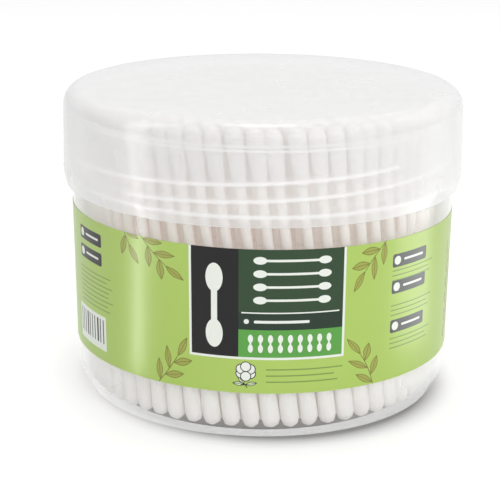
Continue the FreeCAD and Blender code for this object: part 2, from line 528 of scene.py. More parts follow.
@dataclass(frozen=True)
class Boll:
    """Printed cotton boll of round lobes over two leaves, in millimetres."""

    across_mm: float
    up_mm: float
    lobe_mm: float = 1.35
    reach_mm: float = 1.25
    outline_mm: float = 0.22
    leaf_drop_mm: float = 3.4

    def lobes(self, across: Signal, up: Signal) -> tuple[Signal, Signal]:
        """Round lobes with a dark line round each of them.

        Args:
            across: Distance round the label from the front.
            up: Height on the label.

        Returns:
            Masks of the whole boll and of its lines.
        """
        whole, lines = None, None
        for turn_deg in (205, -25, 150, 30, 90, 270):
            turn = math.radians(turn_deg)
            beside = across - (self.across_mm + math.cos(turn) * self.reach_mm)
            above = up - (self.up_mm + math.sin(turn) * self.reach_mm)
            span = (beside * beside + above * above) ** 0.5
            disc = span < self.lobe_mm
            outer = span > self.lobe_mm - self.outline_mm
            ring = disc * outer
            lines = ring if lines is None else lines * outer | ring
            whole = disc if whole is None else whole | disc
        return whole, lines

    def leaves(self) -> list[Sprig]:
        """The leaves under the boll and beside it."""
        low = self.up_mm - self.leaf_drop_mm
        return [Sprig(self.across_mm - 0.2, low, turn, 0, leaf_mm=3.1, half_width_mm=0.55)
                for turn in (172, 8, 126)]


@dataclass(frozen=True)
class PrintedFilm:
    """Satin label film, printed with colour fields and simple shapes."""

    radius_mm: float
    tilt_deg: float
    panel_left_mm: float = -17.7
    panel_right_mm: float = 20.6
    panel_bottom_mm: float = 21.3
    panel_split_mm: float = -5.5
    panel_top_mm: float = 60.0
    rule_mm: float = 33.2
    strip_mm: float = 28.9
    frame_mm: float = 0.6
    back_from_mm: float = 63.0
    back_pitch_mm: float = 15.5

    def blocks(self) -> list[Block]:
        """Printed rectangles, from the lowest ink to the highest."""
        inner_left = self.panel_left_mm + self.frame_mm
        inner_right = self.panel_right_mm - self.frame_mm
        inner_bottom = self.panel_bottom_mm + self.frame_mm
        top = self.panel_top_mm
        blocks = [
            Block(self.panel_left_mm, self.panel_bottom_mm, self.panel_right_mm, top, Ink.WHITE),
            Block(inner_left, inner_bottom, self.panel_split_mm, top, Ink.CHARCOAL),
            Block(self.panel_split_mm, inner_bottom, inner_right, self.strip_mm, Ink.MID_GREEN),
            Block(self.panel_split_mm, self.strip_mm, inner_right, self.rule_mm, Ink.STRIP_GREEN),
            Block(self.panel_split_mm, self.rule_mm, inner_right, top, Ink.DARK_GREEN),
            Block(self.panel_split_mm + 0.7, self.rule_mm - 0.16, inner_right - 0.9, self.rule_mm + 0.16,
                  Ink.WHITE),
        ]
        blocks += self.tags(34.3, 47.5, (41.7, 34.9, 24.7), Ink.TAG)
        blocks += self.tags(-58.6, -46.0, (42.6, 37.7), Ink.CHARCOAL)
        blocks.append(Block(-61, 15.4, -45, 24.6, Ink.WHITE, 0.3))
        blocks += [Block(left, 17.2, left + width, 23.6, Ink.CHARCOAL) for left, width in self.bars()]
        blocks.append(Block(-4.2, 30.4, -3.0, 31.6, Ink.WHITE, 0.55))
        blocks.append(Block(-1.8, 30.6, 11.6, 31.3, Ink.WHITE, 0.3))
        return blocks

    @staticmethod
    def bars() -> list[tuple[float, float]]:
        """Left end and width of the upright bars in the white box."""
        return [(-60 + 1.5 * number, 0.45 + 0.35 * (number * 3 % 4 == 1)) for number in range(10)]

    @staticmethod
    def tags(left_mm: float, right_mm: float, bottoms_mm: tuple[float, ...], ink: Ink) -> list[Block]:
        """Dark tags, each with a round dot.

        Args:
            left_mm: Left end of the tags.
            right_mm: Right end of the tags.
            bottoms_mm: Lower edge of each tag.
            ink: Ink of the tags.

        Returns:
            The tags and their dots.
        """
        made = []
        for bottom in bottoms_mm:
            made.append(Block(left_mm, bottom, right_mm, bottom + 3.4, ink, 0.6))
            made.append(Block(left_mm + 0.6, bottom + 0.6, left_mm + 2.8, bottom + 2.8, Ink.WHITE, 1.05))
            made.append(Block(left_mm + 4, bottom + 1.4, right_mm - 1.6, bottom + 2.0, Ink.WHITE, 0.25))
        return made

    @staticmethod
    def rules() -> list[FineRules]:
        """Blocks of fine rules under the tags."""
        under_tags = [FineRules(34.3, bottom, 51, 3) for bottom in (38.2, 29.2, 20.6)]
        return under_tags + [FineRules(-59, 26.2, -41.5, 8), FineRules(1.2, 15.4, 20.4, 3, 1.6, 0.35)]

    @staticmethod
    def sprigs() -> list[Sprig]:
        """Sprigs at both sides of the panel."""
        return [Sprig(-30.5, 48.6, -47, 2), Sprig(-25.9, 13.2, 50, 2, 0.01), Sprig(-37.0, 50.4, -66, 1),
                Sprig(31.6, 48.8, -137, 2), Sprig(29.2, 13.0, 106, 2, 0.02)]

    def repeated_sprig(self, across: Signal, up: Signal) -> tuple[Signal, Signal, Signal]:
        """Row of like sprigs round the back, printed as one that repeats.

        Args:
            across: Distance round the label from the front.
            up: Height on the label.

        Returns:
            Masks of their leaves, lines and veins.
        """
        behind = abs(across) > self.back_from_mm
        folded = (across + self.back_from_mm) % self.back_pitch_mm
        masks = Sprig(3.4, 15.5, 76, 5).masks(folded, up)
        return masks[0] * behind, masks[1] * behind, masks[2] * behind

    @staticmethod
    def signs() -> list[SwabRow]:
        """Pictograms of swabs: four that lie, a large one that stands and a row of small ones."""
        return [SwabRow(7.4, 36.4, 4, 3.3, 9.4, 0.95, 0.3),
                SwabRow(-11.4, 34.6, 1, 8.0, 10.6, 2.1, 0.75, True),
                SwabRow(-2.6, 25.4, 9, 2.4, 2.3, 0.62, 0.22, True)]

    def layers(self, across: Signal, up: Signal) -> list[tuple[Signal, Ink]]:
        """What is printed on the ground colour, from the lowest ink to the highest.

        Args:
            across: Distance round the label from the front.
            up: Height on the label.

        Returns:
            Mask and ink of each layer.
        """
        made = []
        sprigs = [sprig.masks(across, up) for sprig in self.sprigs()]
        for leaves, lines, veins in sprigs + [self.repeated_sprig(across, up)]:
            made += [(leaves * 0.38 | veins * 0.75, Ink.LEAF_VEIN), (lines * 0.85, Ink.LEAF_LINE)]
        made += [(block.mask(across, up), block.ink) for block in self.blocks()]
        made += [(rules.mask(across, up) * 0.8, Ink.RULE) for rules in self.rules()]
        made += [(row.mask(across, up), Ink.WHITE) for row in self.signs()]
        boll = Boll(-3.7, 18.2)
        for leaf in boll.leaves():
            leaves, lines, _ = leaf.masks(across, up)
            made += [(leaves * 0.6, Ink.WHITE), (lines, Ink.CHARCOAL)]
        whole, lines = boll.lobes(across, up)
        return made + [(whole, Ink.WHITE), (lines, Ink.CHARCOAL)]

    def material(self) -> Finish:
        """Build the material."""
        recipe = Recipe("printed film")
        along_x, along_y, along_z = recipe.axes()
        across = along_x.math("ARCTAN2", along_x, along_y * -1) * self.radius_mm
        up = (along_z + along_x * math.tan(math.radians(self.tilt_deg))) / MM
        tone = recipe.noise(14 * MM, 2)
        print_colour = recipe.mixed(tone * 0.25, Ink.GREEN.value, Ink.PALE_GREEN.value)
        for mask, ink in self.layers(across, up):
            print_colour = recipe.mixed(mask, print_colour, ink.value)
        grain = recipe.noise(0.7 * MM, 2)
        wave = recipe.noise(16 * MM, 2, (1, 1, 0.5))
        return recipe.finish(
            Base_Color=print_colour,
            Roughness=0.32 + (grain - 0.5) * 0.08,
            Specular_IOR_Level=0.26,
            Coat_Weight=0.15,
            Coat_Roughness=0.2,
            Normal=recipe.bump(wave + grain * 0.04, 0.2 * MM),
        )


class Workbench:
    """Modelling steps that several pieces share."""

    @staticmethod
    def deselect() -> None:
        """Leave nothing selected."""
        bpy.ops.object.select_all(action="DESELECT")

    @staticmethod
    def make_active(piece: Piece) -> None:
        """Select one piece alone.

        Args:
            piece: The piece.
        """
        Workbench.deselect()
        piece.select_set(True)
        bpy.context.view_layer.objects.active = piece

    @staticmethod
    def rounded(corners: list[tuple[float, float, float]], arc_steps: int) -> list[tuple[float, float]]:
        """Profile whose corners are rounded.

        Args:
            corners: Radius, height and rounding of each corner.
            arc_steps: Steps of each round stretch.

        Returns:
            Radius and height of each point, in order.
        """
        points = [Vector((radius, height)) for radius, height, _ in corners]
        profile = []
        for index, (_, _, rounding) in enumerate(corners):
            corner = points[index]
            if rounding == 0:
                profile.append((corner.x, corner.y))
                continue
            to_before = (points[index - 1] - corner).normalized()
            to_after = (points[(index + 1) % len(points)] - corner).normalized()
            half_angle = to_before.angle(to_after) / 2
            inward = (to_before + to_after).normalized()
            centre = corner + inward * (rounding / math.sin(half_angle))
            start = (corner + to_before * (rounding / math.tan(half_angle)) - centre).normalized()
            end = (corner + to_after * (rounding / math.tan(half_angle)) - centre).normalized()
            for step in range(arc_steps + 1):
                spoke = start.slerp(end, step / arc_steps) * rounding
                profile.append((centre.x + spoke.x, centre.y + spoke.y))
        return profile

    @staticmethod
    def turned(name: str, profile: list[tuple[float, float]], segments: int) -> Piece:
        """Closed turned solid: a disc is extruded ring by ring along a profile.

        Args:
            name: The piece's name.
            profile: Radius and height of each ring; a flat face closes both ends.
            segments: How many sides the rings have.

        Returns:
            The piece.
        """
        Workbench.deselect()
        radius, height = profile[0]
        bpy.ops.mesh.primitive_circle_add(vertices=segments, radius=radius, fill_type="NGON",
                                          location=(0, 0, height))
        piece = bpy.context.object
        piece.name = name
        bpy.ops.object.transform_apply(location=True)
        bpy.ops.object.mode_set(mode="EDIT")
        bpy.ops.mesh.select_mode(type="EDGE")
        bpy.ops.mesh.select_all(action="SELECT")
        for next_radius, next_height in profile[1:]:
            share = next_radius / radius
            bpy.ops.mesh.extrude_edges_move(TRANSFORM_OT_translate={"value": (0, 0, next_height - height)})
            bpy.ops.transform.resize(value=(share, share, 1), center_override=(0, 0, next_height))
            radius, height = next_radius, next_height
        bpy.ops.mesh.edge_face_add()
        bpy.ops.mesh.select_all(action="SELECT")
        bpy.ops.mesh.normals_make_consistent(inside=False)
        bpy.ops.object.mode_set(mode="OBJECT")
        return piece

    @staticmethod
    def select(piece: Piece, kind: str, fits: Callable[[MeshPart], bool]) -> None:
        """Select what fits, in edit mode.

        Args:
            piece: The piece in edit mode.
            kind: VERT, EDGE or FACE.
            fits: Says whether a vertex, an edge or a face fits.
        """
        bpy.ops.mesh.select_mode(type=kind)
        bpy.ops.mesh.select_all(action="DESELECT")
        mesh = bmesh.from_edit_mesh(piece.data)
        for part in {"VERT": mesh.verts, "EDGE": mesh.edges, "FACE": mesh.faces}[kind]:
            part.select_set(fits(part))
        bmesh.update_edit_mesh(piece.data)

    @staticmethod
    def modify(piece: Piece, kind: str, **settings: object) -> None:
        """Give a piece a modifier and apply it.

        Args:
            piece: The piece.
            kind: The modifier's type.
            settings: The modifier's attributes.
        """
        modifier = piece.modifiers.new(kind.lower(), kind)
        for key, value in settings.items():
            setattr(modifier, key, value)
        Workbench.make_active(piece)
        bpy.ops.object.modifier_apply(modifier=modifier.name)

    @staticmethod
    def shade(piece: Piece, angle_deg: float = 40) -> None:
        """Shade a piece smooth apart from its edges sharper than an angle."""
        Workbench.make_active(piece)
        bpy.ops.object.shade_smooth_by_angle(angle=math.radians(angle_deg))

    @staticmethod
    def moved_copy(piece: Piece, place: Matrix) -> Piece:
        """Copy of a piece, with its own mesh, at a place.

        Args:
            piece: The piece to copy.
            place: Where the copy goes.

        Returns:
            The copy.
        """
        copy = piece.copy()
        copy.data = piece.data.copy()
        copy.matrix_world = place
        bpy.context.collection.objects.link(copy)
        return copy

    @staticmethod
    def joined(name: str, parts: list[Piece]) -> Piece:
        """One piece made of several, with its place in its mesh.

        Args:
            name: The new piece's name.
            parts: What it is made of.

        Returns:
            The piece.
        """
        Workbench.deselect()
        for part in parts:
            part.select_set(True)
        bpy.context.view_layer.objects.active = parts[0]
        bpy.ops.object.join()
        bpy.ops.object.transform_apply(location=True, rotation=True, scale=True)
        parts[0].name = name
        return parts[0]

    @staticmethod
    def united(body: Piece, ridges: list[Piece]) -> None:
        """Grow ridges out of a body, with no wall left where they meet.

        Args:
            body: The piece that keeps them.
            ridges: What is added to it.
        """
        added = Workbench.joined("ridges", ridges)
        Workbench.modify(body, "BOOLEAN", operation="UNION", solver="EXACT", object=added)
        bpy.data.objects.remove(added)

    @staticmethod
    def mark_inside(piece: Piece) -> None:
        """Mark the faces that look towards the middle of a piece.

        Args:
            piece: The piece.
        """
        heights = [vertex.co.z for vertex in piece.data.vertices]
        middle = Vector((0, 0, (min(heights) + max(heights)) / 2))
        marks = piece.data.attributes.new(INSIDE, "FLOAT", "FACE")
        for face in piece.data.polygons:
            marks.data[face.index].value = float(face.normal.dot(face.center - middle) < 0)

    @staticmethod
    def mark_edges(piece: Piece, bands: list[tuple[float, float, float, float, float]]) -> None:
        """Mark the upright faces of ridges, and rounded edges that face up.

        Args:
            piece: The piece.
            bands: Lowest and highest radius, lowest and highest height, and share of each mark.
        """
        marks = piece.data.attributes.new(EDGE, "FLOAT", "FACE")
        for face in piece.data.polygons:
            reach = math.hypot(face.center.x, face.center.y)
            for inner, outer, low, high, share in bands:
                upright = abs(face.normal.z) < 0.4 or high - low < MM
                if upright and inner < reach < outer and low < face.center.z < high:
                    marks.data[face.index].value = share

    @staticmethod
    def dress(piece: Piece, material: Finish) -> None:
        """Give a piece one material."""
        piece.data.materials.clear()
        piece.data.materials.append(material)

    @staticmethod
    def report(piece: Piece, body: str) -> None:
        """Say that a piece is done, and what it rides on."""
        LOG.info("%s: %d faces, rides on %s", piece.name, len(piece.data.polygons), body)


@dataclass
class ThreadRidge:
    """One start of a coarse thread: a ridge that climbs round a wall."""

    root_radius: float
    crest_radius: float
    start_height: float
    start_deg: float
    span_deg: float
    lead: float = 12.6 * MM
    starts: int = 3
    root_width: float = 2.2 * MM
    crest_width: float = 0.9 * MM
    run_out_steps: int = 2
    step_deg: float = 6

    def section(self) -> Piece:
        """Trapezium of the ridge, as edges alone."""
        middle = (self.root_radius + self.crest_radius) / 2
        depth = abs(self.crest_radius - self.root_radius)
        Workbench.deselect()
        bpy.ops.mesh.primitive_plane_add(size=1, location=(middle, 0, self.start_height),
                                         rotation=(math.pi / 2, 0, 0))
        ridge = bpy.context.object
        ridge.scale = (depth, self.root_width, 1)
        bpy.ops.object.transform_apply(location=True, rotation=True, scale=True)
        bpy.ops.object.mode_set(mode="EDIT")
        outward = self.crest_radius > self.root_radius
        Workbench.select(ridge, "VERT", lambda vertex: (vertex.co.x > middle) == outward)
        share = self.crest_width / self.root_width
        bpy.ops.transform.resize(value=(1, 1, share), center_override=(middle, 0, self.start_height))
        bpy.ops.mesh.select_all(action="SELECT")
        bpy.ops.mesh.delete(type="ONLY_FACE")
        bpy.ops.object.mode_set(mode="OBJECT")
        return ridge

    def swept(self, ridge: Piece) -> None:
        """Sweep the section along its helix and close its ends.

        Args:
            ridge: The section, which becomes the ridge.
        """
        steps = round(self.span_deg / self.step_deg)
        Workbench.modify(ridge, "SCREW", angle=math.radians(self.span_deg),
                         screw_offset=self.lead * self.span_deg / 360, steps=steps, render_steps=steps,
                         use_merge_vertices=False)
        bpy.ops.object.mode_set(mode="EDIT")
        bpy.ops.mesh.select_all(action="SELECT")
        bpy.ops.mesh.fill_holes(sides=4)
        bpy.ops.mesh.normals_make_consistent(inside=False)
        bpy.ops.object.mode_set(mode="OBJECT")

    def run_out(self, ridge: Piece) -> None:
        """Sink the crest into the wall towards both ends.

        Args:
            ridge: The ridge.
        """
        middle = (self.root_radius + self.crest_radius) / 2
        outward = self.crest_radius > self.root_radius
        span = math.radians(self.span_deg)
        run = math.radians(self.step_deg * self.run_out_steps)
        for vertex in ridge.data.vertices:
            radius = math.hypot(vertex.co.x, vertex.co.y)
            if (radius > middle) != outward:
                continue
            turned = (vertex.co.z - self.start_height) / self.lead * FULL_TURN
            turned = min(max(turned, 0), span)
            fullness = min(1, min(turned, span - turned) / run)
            wanted = self.root_radius + (self.crest_radius - self.root_radius) * (0.4 + 0.6 * fullness)
            vertex.co.x *= wanted / radius
            vertex.co.y *= wanted / radius

    def all_starts(self) -> list[Piece]:
        """Every start of the thread."""
        ridge = self.section()
        self.swept(ridge)
        self.run_out(ridge)
        copies = []
        for start in range(self.starts):
            turn = math.radians(self.start_deg) + FULL_TURN * start / self.starts
            copies.append(Workbench.moved_copy(ridge, Matrix.Rotation(turn, 4, "Z")))
        bpy.data.objects.remove(ridge)
        return copies


@dataclass
class Tub:
    """The moulded jar: raised base, drafted wall, shoulder, neck and thread."""

    base_radius: float = 49.2 * MM
    draft_deg: float = 0.86
    wall: float = 1.2 * MM
    foot_radius: float = 46.5 * MM
    foot_height: float = 5.5 * MM
    foot_round: float = 6.0 * MM
    foot_edge_round: float = 0.5 * MM
    floor_round: float = 3.2 * MM
    base_ring_width: float = 8.2 * MM
    recess_depth: float = 0.8 * MM
    neck_height: float = 15.3 * MM
    shoulder_width: float = 1.75 * MM
    shoulder_round: float = 0.7 * MM
    root_round: float = 0.6 * MM
    rim_round: float = 0.45 * MM
    thread_height: float = 1.2 * MM
    thread_sink: float = 0.4 * MM
    thread_above_shoulder: float = 1.4 * MM
    thread_start_deg: float = -150
    thread_span_deg: float = 240
    crest_mark: float = 0.75
    rim_mark: float = 0.6
    shoulder_mark: float = 0.7

    def radius(self, height: float) -> float:
        """Outer radius of the drafted wall at a height."""
        return self.base_radius + height * math.tan(math.radians(self.draft_deg))

    @cached_property
    def rim(self) -> float:
        """Height of the rim, from the frame."""
        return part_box("tub")[1][2]

    @property
    def floor(self) -> float:
        """Height of the floor inside."""
        return self.recess_depth + self.wall

    @property
    def shoulder(self) -> float:
        """Height of the shoulder, where the lid's skirt ends."""
        return self.rim - self.neck_height

    @property
    def neck_radius(self) -> float:
        """Outer radius of the neck."""
        return self.radius(self.shoulder) - self.shoulder_width

    def profile(self) -> list[tuple[float, float]]:
        """Outline of the wall, from the raised base round to the inside floor."""
        under = self.shoulder - self.wall
        bore = self.neck_radius - self.wall
        recess_radius = self.base_radius - self.base_ring_width
        corners = [
            (recess_radius, self.recess_depth, 0),
            (recess_radius + self.recess_depth, 0, 0),
            (self.foot_radius, 0, self.foot_edge_round),
            (self.radius(self.foot_height), self.foot_height, self.foot_round),
            (self.radius(self.shoulder), self.shoulder, self.shoulder_round),
            (self.neck_radius, self.shoulder, self.root_round),
            (self.neck_radius, self.rim, self.rim_round),
            (bore, self.rim, self.rim_round),
            (bore, under, self.shoulder_round),
            (self.radius(under) - self.wall, under, self.root_round),
            (self.radius(self.floor) - self.wall, self.floor, self.floor_round),
            (recess_radius, self.floor, 0),
        ]
        return Workbench.rounded(corners, 6)

    def build(self, material: Finish) -> None:
        """Model the tub.

        Args:
            material: Its finish.
        """
        piece = Workbench.turned("clear_tub", self.profile(), WALL_SEGMENTS)
        crest = self.neck_radius + self.thread_height
        outside = self.radius(self.shoulder)
        thread = ThreadRidge(self.neck_radius - self.thread_sink, crest,
                             self.shoulder + self.thread_above_shoulder,
                             self.thread_start_deg, self.thread_span_deg)
        Workbench.united(piece, thread.all_starts())
        Workbench.mark_inside(piece)
        Workbench.mark_edges(piece, [
            (self.neck_radius + 0.15 * MM, crest + MM, self.shoulder + MM, self.rim - MM, self.crest_mark),
            (self.neck_radius - 0.5 * MM, crest, self.rim - self.rim_round, self.rim, self.rim_mark),
            (outside - 0.75 * MM, outside + MM, self.shoulder - self.shoulder_round,
             self.shoulder + 0.05 * MM, self.shoulder_mark),
        ])
        Workbench.shade(piece)
        Workbench.dress(piece, material)
        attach(piece, "tub")
        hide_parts("tub")
        Workbench.report(piece, "tub")


@dataclass
class Lid:
    """The moulded screw cap: rounded top, skirt that tapers in at its edge, seat ring and thread."""

    skirt_gap: float = 1.05 * MM
    edge_gap: float = 0.15 * MM
    taper_height: float = 3.2 * MM
    taper_round: float = 2.0 * MM
    draft_deg: float = 1.06
    wall: float = 1.2 * MM
    corner_round: float = 4.5 * MM
    edge_round: float = 0.4 * MM
    seat_thickness: float = 1.0 * MM
    seat_overlap: float = 0.8 * MM
    seat_gap: float = 0.1 * MM
    thread_clearance: float = 0.35 * MM
    thread_above_edge: float = 3.4 * MM
    thread_start_deg: float = -90
    thread_span_deg: float = 84
    crest_mark: float = 0.4
    centre_share: float = 0.8

    def build(self, tub: Tub, material: Finish) -> None:
        """Model the lid.

        Args:
            tub: The tub that it closes.
            material: Its finish.
        """
        low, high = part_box("lid")
        bottom, top = low[2], high[2]
        skirt_radius = tub.radius(tub.shoulder) + self.skirt_gap + self.wall

        def radius(height: float) -> float:
            """Outer radius of the skirt at a height."""
            return skirt_radius - (height - bottom) * math.tan(math.radians(self.draft_deg))

        seat = tub.rim + self.seat_gap
        seat_top = seat + self.seat_thickness
        seat_radius = tub.neck_radius - self.seat_overlap
        ceiling = top - self.wall
        centre = seat_radius * self.centre_share
        taper_top = bottom + self.taper_height
        edge_radius = radius(bottom) - (self.skirt_gap - self.edge_gap)
        corners = [
            (centre, top, 0),
            (radius(top), top, self.corner_round),
            (radius(taper_top), taper_top, self.taper_round),
            (edge_radius, bottom, self.edge_round),
            (edge_radius - self.wall, bottom, self.edge_round),
            (radius(taper_top) - self.wall, taper_top, self.taper_round),
            (radius(seat) - self.wall, seat, 0),
            (seat_radius, seat, 0),
            (seat_radius, seat_top, 0),
            (radius(seat_top) - self.wall, seat_top, 0),
            (radius(ceiling) - self.wall, ceiling, self.corner_round - self.wall),
            (centre, ceiling, 0),
        ]
        piece = Workbench.turned("frosted_lid", Workbench.rounded(corners, 8), WALL_SEGMENTS)
        start = bottom + self.thread_above_edge
        ridge = tub.neck_radius + tub.thread_height + self.thread_clearance
        thread = ThreadRidge(radius(start) - self.wall + tub.thread_sink, ridge, start,
                             self.thread_start_deg, self.thread_span_deg)
        Workbench.united(piece, thread.all_starts())
        Workbench.mark_inside(piece)
        Workbench.mark_edges(piece, [
            (ridge - 0.2 * MM, ridge + 0.5 * MM, taper_top, seat - MM, self.crest_mark),
        ])
        Workbench.shade(piece)
        Workbench.dress(piece, material)
        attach(piece, "lid")
        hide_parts("lid")
        Workbench.report(piece, "lid")


@dataclass
class Label:
    """The film wrapped round the tub, a little askew, with its ends apart at the back."""

    bottom: float = 12.6 * MM
    height: float = 36.4 * MM
    thickness: float = 0.15 * MM
    glue_gap: float = 0.02 * MM
    tilt_deg: float = 0.75
    seam_width: float = 3 * MM
    rows: int = 6

    def build(self, tub: Tub) -> None:
        """Model the label and print it.

        Args:
            tub: The tub that it wraps.
        """
        middle = self.bottom + self.height / 2
        radius = tub.radius(middle) + self.glue_gap
        Workbench.deselect()
        bpy.ops.mesh.primitive_cylinder_add(vertices=WALL_SEGMENTS * 2, radius=radius, depth=self.height,
                                            end_fill_type="NOTHING", location=(0, 0, middle))
        piece = bpy.context.object
        piece.name = "label_film"
        bpy.ops.object.transform_apply(location=True)
        bpy.ops.object.mode_set(mode="EDIT")
        self.shape_ends(piece, tub, middle)
        Workbench.select(piece, "FACE", self.in_seam)
        bpy.ops.mesh.delete(type="FACE")
        Workbench.select(piece, "EDGE",
                         lambda edge: abs(edge.verts[0].co.z - edge.verts[1].co.z) > self.height / 2)
        bpy.ops.mesh.subdivide(number_cuts=self.rows - 1)
        bpy.ops.object.mode_set(mode="OBJECT")
        Workbench.modify(piece, "SOLIDIFY", thickness=self.thickness, offset=1)
        Workbench.shade(piece)
        Workbench.dress(piece, PrintedFilm(radius / MM, self.tilt_deg).material())
        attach(piece, "tub")
        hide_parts("label")
        Workbench.report(piece, "tub")

    def shape_ends(self, piece: Piece, tub: Tub, middle: float) -> None:
        """Follow the wall's draft and tilt both edges.

        Args:
            piece: The label in edit mode.
            tub: The tub that it wraps.
            middle: Height of its middle.
        """
        for height in (self.bottom, self.bottom + self.height):
            Workbench.select(piece, "VERT", lambda vertex: (vertex.co.z > middle) == (height > middle))
            share = (tub.radius(height) + self.glue_gap) / (tub.radius(middle) + self.glue_gap)
            bpy.ops.transform.resize(value=(share, share, 1), center_override=(0, 0, height))
        mesh = bmesh.from_edit_mesh(piece.data)
        slope = math.tan(math.radians(self.tilt_deg))
        for vertex in mesh.verts:
            drop = vertex.co.x * slope
            share = tub.radius(vertex.co.z - drop) / tub.radius(vertex.co.z)
            vertex.co = Vector((vertex.co.x * share, vertex.co.y * share, vertex.co.z - drop))
        bmesh.update_edit_mesh(piece.data)

    def in_seam(self, face: bmesh.types.BMFace) -> bool:
        """Whether a face lies between the label's ends."""
        centre = face.calc_center_median()
        return centre.y > 0 and abs(centre.x) < self.seam_width / 2


@dataclass
class SwabBundle:
    """Three hundred swabs that stand in rings and lean the same way round."""

    tub: Tub
    ring_count: int = 10
    inner_ring_radius: float = 6.6 * MM
    length: float = 75.5 * MM
    stick_radius: float = 1.25 * MM
    tip_length: float = 14.5 * MM
    spacing_gap: float = 0.15 * MM
    neck_gap: float = 0.2 * MM
    floor_gap: float = 0.05 * MM
    twist_deg: float = -12
    cover_share: float = 0.2
    turn_spread_deg: float = 0.7
    swell: tuple[float, float] = (0.95, 1.03)
    lump_size: float = 2.4 * MM
    lump_depth: float = 0.45 * MM
    lump_level: float = 0.55
    sides: int = 12
    seed: int = 7

    @property
    def tip_radius(self) -> float:
        """Radius of a tip that lets the rings fill the neck, side by side."""
        outside = self.ring_count - 2
        room = self.tub.neck_radius - self.tub.wall - self.neck_gap - self.inner_ring_radius
        return (room - outside * self.spacing_gap) / (2 * outside + 1)

    def tip(self) -> Piece:
        """One cotton tip, nose down at the origin, on the lower end of a stick."""
        radius, length = self.tip_radius, self.tip_length
        profile = [
            (radius * 0.34, 0.0), (radius * 0.80, length * 0.045), (radius, length * 0.15),
            (radius * 0.98, length * 0.42), (radius * 0.88, length * 0.72),
            (radius * 0.72, length * 0.94), (self.stick_radius * 0.96, length),
        ]
        piece = Workbench.turned("cotton_tip", profile, self.sides)
        Workbench.shade(piece, 70)
        return piece

    def stick(self) -> Piece:
        """One paper stick that ends inside both tips."""
        cover = self.tip_length * self.cover_share
        profile = [(self.stick_radius, height) for height in (cover, self.length / 2, self.length - cover)]
        piece = Workbench.turned("paper_stick", profile, self.sides)
        Workbench.shade(piece, 60)
        return piece

    def rings(self) -> list[tuple[float, int]]:
        """Radius of each ring and how many swabs fit in it, from the neck inwards."""
        spacing = 2 * self.tip_radius + self.spacing_gap
        rings = []
        for place in range(self.ring_count - 2, -1, -1):
            radius = self.inner_ring_radius + place * spacing
            rings.append((radius, math.floor(math.pi / math.asin(spacing / 2 / radius))))
        return rings + [(0.0, 1)]

    def place(self, radius: float, angle: float, lots: random.Random) -> Matrix:
        """Where one swab stands, with a little of its own in lean and turn.

        Args:
            radius: Radius of its ring.
            angle: Its angle round the ring.
            lots: Source of the small differences.

        Returns:
            Its place.
        """
        foot = Vector((radius * math.cos(angle), radius * math.sin(angle), 0))
        turn = math.radians(self.twist_deg + lots.uniform(-self.turn_spread_deg, self.turn_spread_deg))
        across = Matrix.Rotation(turn, 3, "Z") @ foot - foot
        reach = self.length - 2 * self.tip_radius
        direction = (across + Vector((0, 0, math.sqrt(reach ** 2 - across.length ** 2)))).normalized()
        nose = self.tub.floor + self.floor_gap + self.tip_radius
        base = foot + Vector((0, 0, nose)) - direction * self.tip_radius
        lean = direction.to_track_quat("Z", "Y").to_matrix().to_4x4()
        roll = Matrix.Rotation(lots.uniform(0, FULL_TURN), 4, "Z")
        return Matrix.Translation(base) @ lean @ roll

    def build_ring(self, number: int, radius: float, count: int, shapes: tuple[Piece, ...],
                   finishes: tuple[Finish, ...]) -> None:
        """Model one ring of swabs as a piece of sticks and a piece of tips.

        Args:
            number: The ring's number, from 1 at the neck.
            radius: The ring's radius.
            count: How many swabs it has.
            shapes: The stick and the tip that are copied.
            finishes: The finishes of the sticks and the tips.
        """
        stick, tip = shapes
        lots = random.Random(self.seed + number)
        upper = Matrix.Translation((0, 0, self.length)) @ Matrix.Rotation(math.pi, 4, "X")
        sticks, tips = [], []
        for index in range(count):
            place = self.place(radius, FULL_TURN * index / count, lots)
            sticks.append(Workbench.moved_copy(stick, place))
            for end in (Matrix.Identity(4), upper):
                swell = Matrix.Diagonal((lots.uniform(*self.swell), lots.uniform(*self.swell), 1, 1))
                tips.append(Workbench.moved_copy(tip, place @ end @ swell))
        for parts, name, node, finish, slot in (
                (sticks, "sticks", "paper_sticks_ring", finishes[0], "stick_paper"),
                (tips, "tips", "cotton_tips_ring", finishes[1], "cotton")):
            piece = Workbench.joined(f"{name}_{number:02d}", parts)
            Workbench.dress(piece, finish)
            if name == "tips":
                self.fluff(piece)
            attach(piece, "tub")
            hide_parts(f"{node}_{number:02d}")
            Workbench.report(piece, "tub")

    def fluff(self, piece: Piece) -> None:
        """Make every tip of a ring a little uneven.

        Args:
            piece: The tips of a ring.
        """
        lumps = bpy.data.textures.new("cotton lumps", "CLOUDS")
        lumps.noise_scale = self.lump_size
        Workbench.modify(piece, "DISPLACE", texture=lumps, texture_coords="GLOBAL", strength=self.lump_depth,
                         mid_level=self.lump_level)
        bpy.data.textures.remove(lumps)

    def build(self, cotton: Finish, paper: Finish) -> None:
        """Model every ring.

        Args:
            cotton: Finish of the tips.
            paper: Finish of the sticks.
        """
        shapes = (self.stick(), self.tip())
        for number, (radius, count) in enumerate(self.rings(), start=1):
            self.build_ring(number, radius, count, shapes, (paper, cotton))
        for shape in shapes:
            bpy.data.objects.remove(shape)


